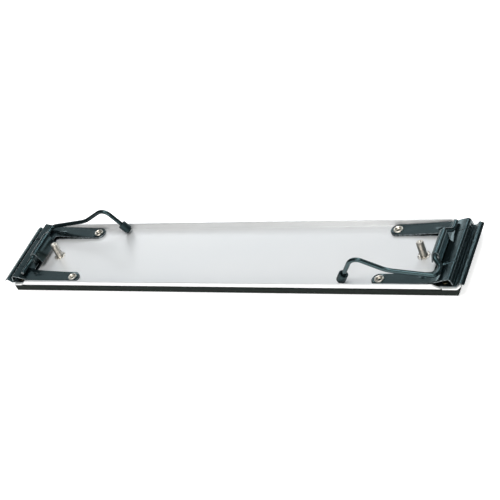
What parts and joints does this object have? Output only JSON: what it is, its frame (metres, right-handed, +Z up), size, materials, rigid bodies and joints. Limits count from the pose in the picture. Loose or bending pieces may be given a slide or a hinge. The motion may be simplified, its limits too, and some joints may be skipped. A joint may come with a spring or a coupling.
{
  "type": "straight-line sander pad",
  "caption": "Long flat sander pad: a flanged light plate on a foam sole, with lever-locked paper clamps at the ends and threaded mounting posts.",
  "frame": {"origin": "middle of the sole's underside", "axes": "+X along the pad, +Y across it, +Z up from the sole towards the clamps"},
  "size_m": [0.4138, 0.073, 0.0333],
  "materials": {
    "plate": "satin light grey sheet",
    "sole": "black closed-cell sponge, cut faces grainy",
    "clamp_black": "satin black blued spring steel",
    "lever_black": "satin black bent wire",
    "tip_rubber": "black moulded rubber",
    "nickel": "bright nickel plate",
    "brass": "plain brass"
  },
  "bodies": {
    "pad": {"base_plate": "plate", "foam_pad": "sole", "right_lower_jaw": "clamp_black", "right_saddle": "clamp_black", "right_arm_rivets": "nickel", "right_crossbar_rivets": "brass", "right_saddle_rivets": "nickel", "right_mount_stud": "nickel", "right_push_washer": "nickel", "left_lower_jaw": "clamp_black", "left_saddle": "clamp_black", "left_arm_rivets": "nickel", "left_crossbar_rivets": "brass", "left_saddle_rivets": "nickel", "left_mount_stud": "nickel", "left_push_washer": "nickel"},
    "right_lever": {"right_clamp_lever": "lever_black", "right_lever_tip": "tip_rubber"},
    "right_jaw": {"right_spring_jaw": "clamp_black"},
    "left_lever": {"left_clamp_lever": "lever_black", "left_lever_tip": "tip_rubber"},
    "left_jaw": {"left_spring_jaw": "clamp_black"}
  },
  "joints": [
    {"name": "right_lever_swing", "type": "hinge", "parent": "pad", "child": "right_lever", "pos_m": [0.1819, 0, 0.0196], "axis": [0, 1, 0], "range_deg": [0, 150]},
    {"name": "right_jaw_lift", "type": "hinge", "parent": "pad", "child": "right_jaw", "pos_m": [0.136, 0, 0.00846], "axis": [0, -1, 0], "range_deg": [0, 2.2]},
    {"name": "left_lever_swing", "type": "hinge", "parent": "pad", "child": "left_lever", "pos_m": [-0.1819, 0, 0.0196], "axis": [0, -1, 0], "range_deg": [0, 150]},
    {"name": "left_jaw_lift", "type": "hinge", "parent": "pad", "child": "left_jaw", "pos_m": [-0.136, 0, 0.00846], "axis": [0, 1, 0], "range_deg": [0, 2.2]}
  ],
  "couplings": [
    {"joint": "right_jaw_lift", "follows": "right_lever_swing", "ratio": 0.014667},
    {"joint": "left_jaw_lift", "follows": "left_lever_swing", "ratio": 0.014667}
  ]
}
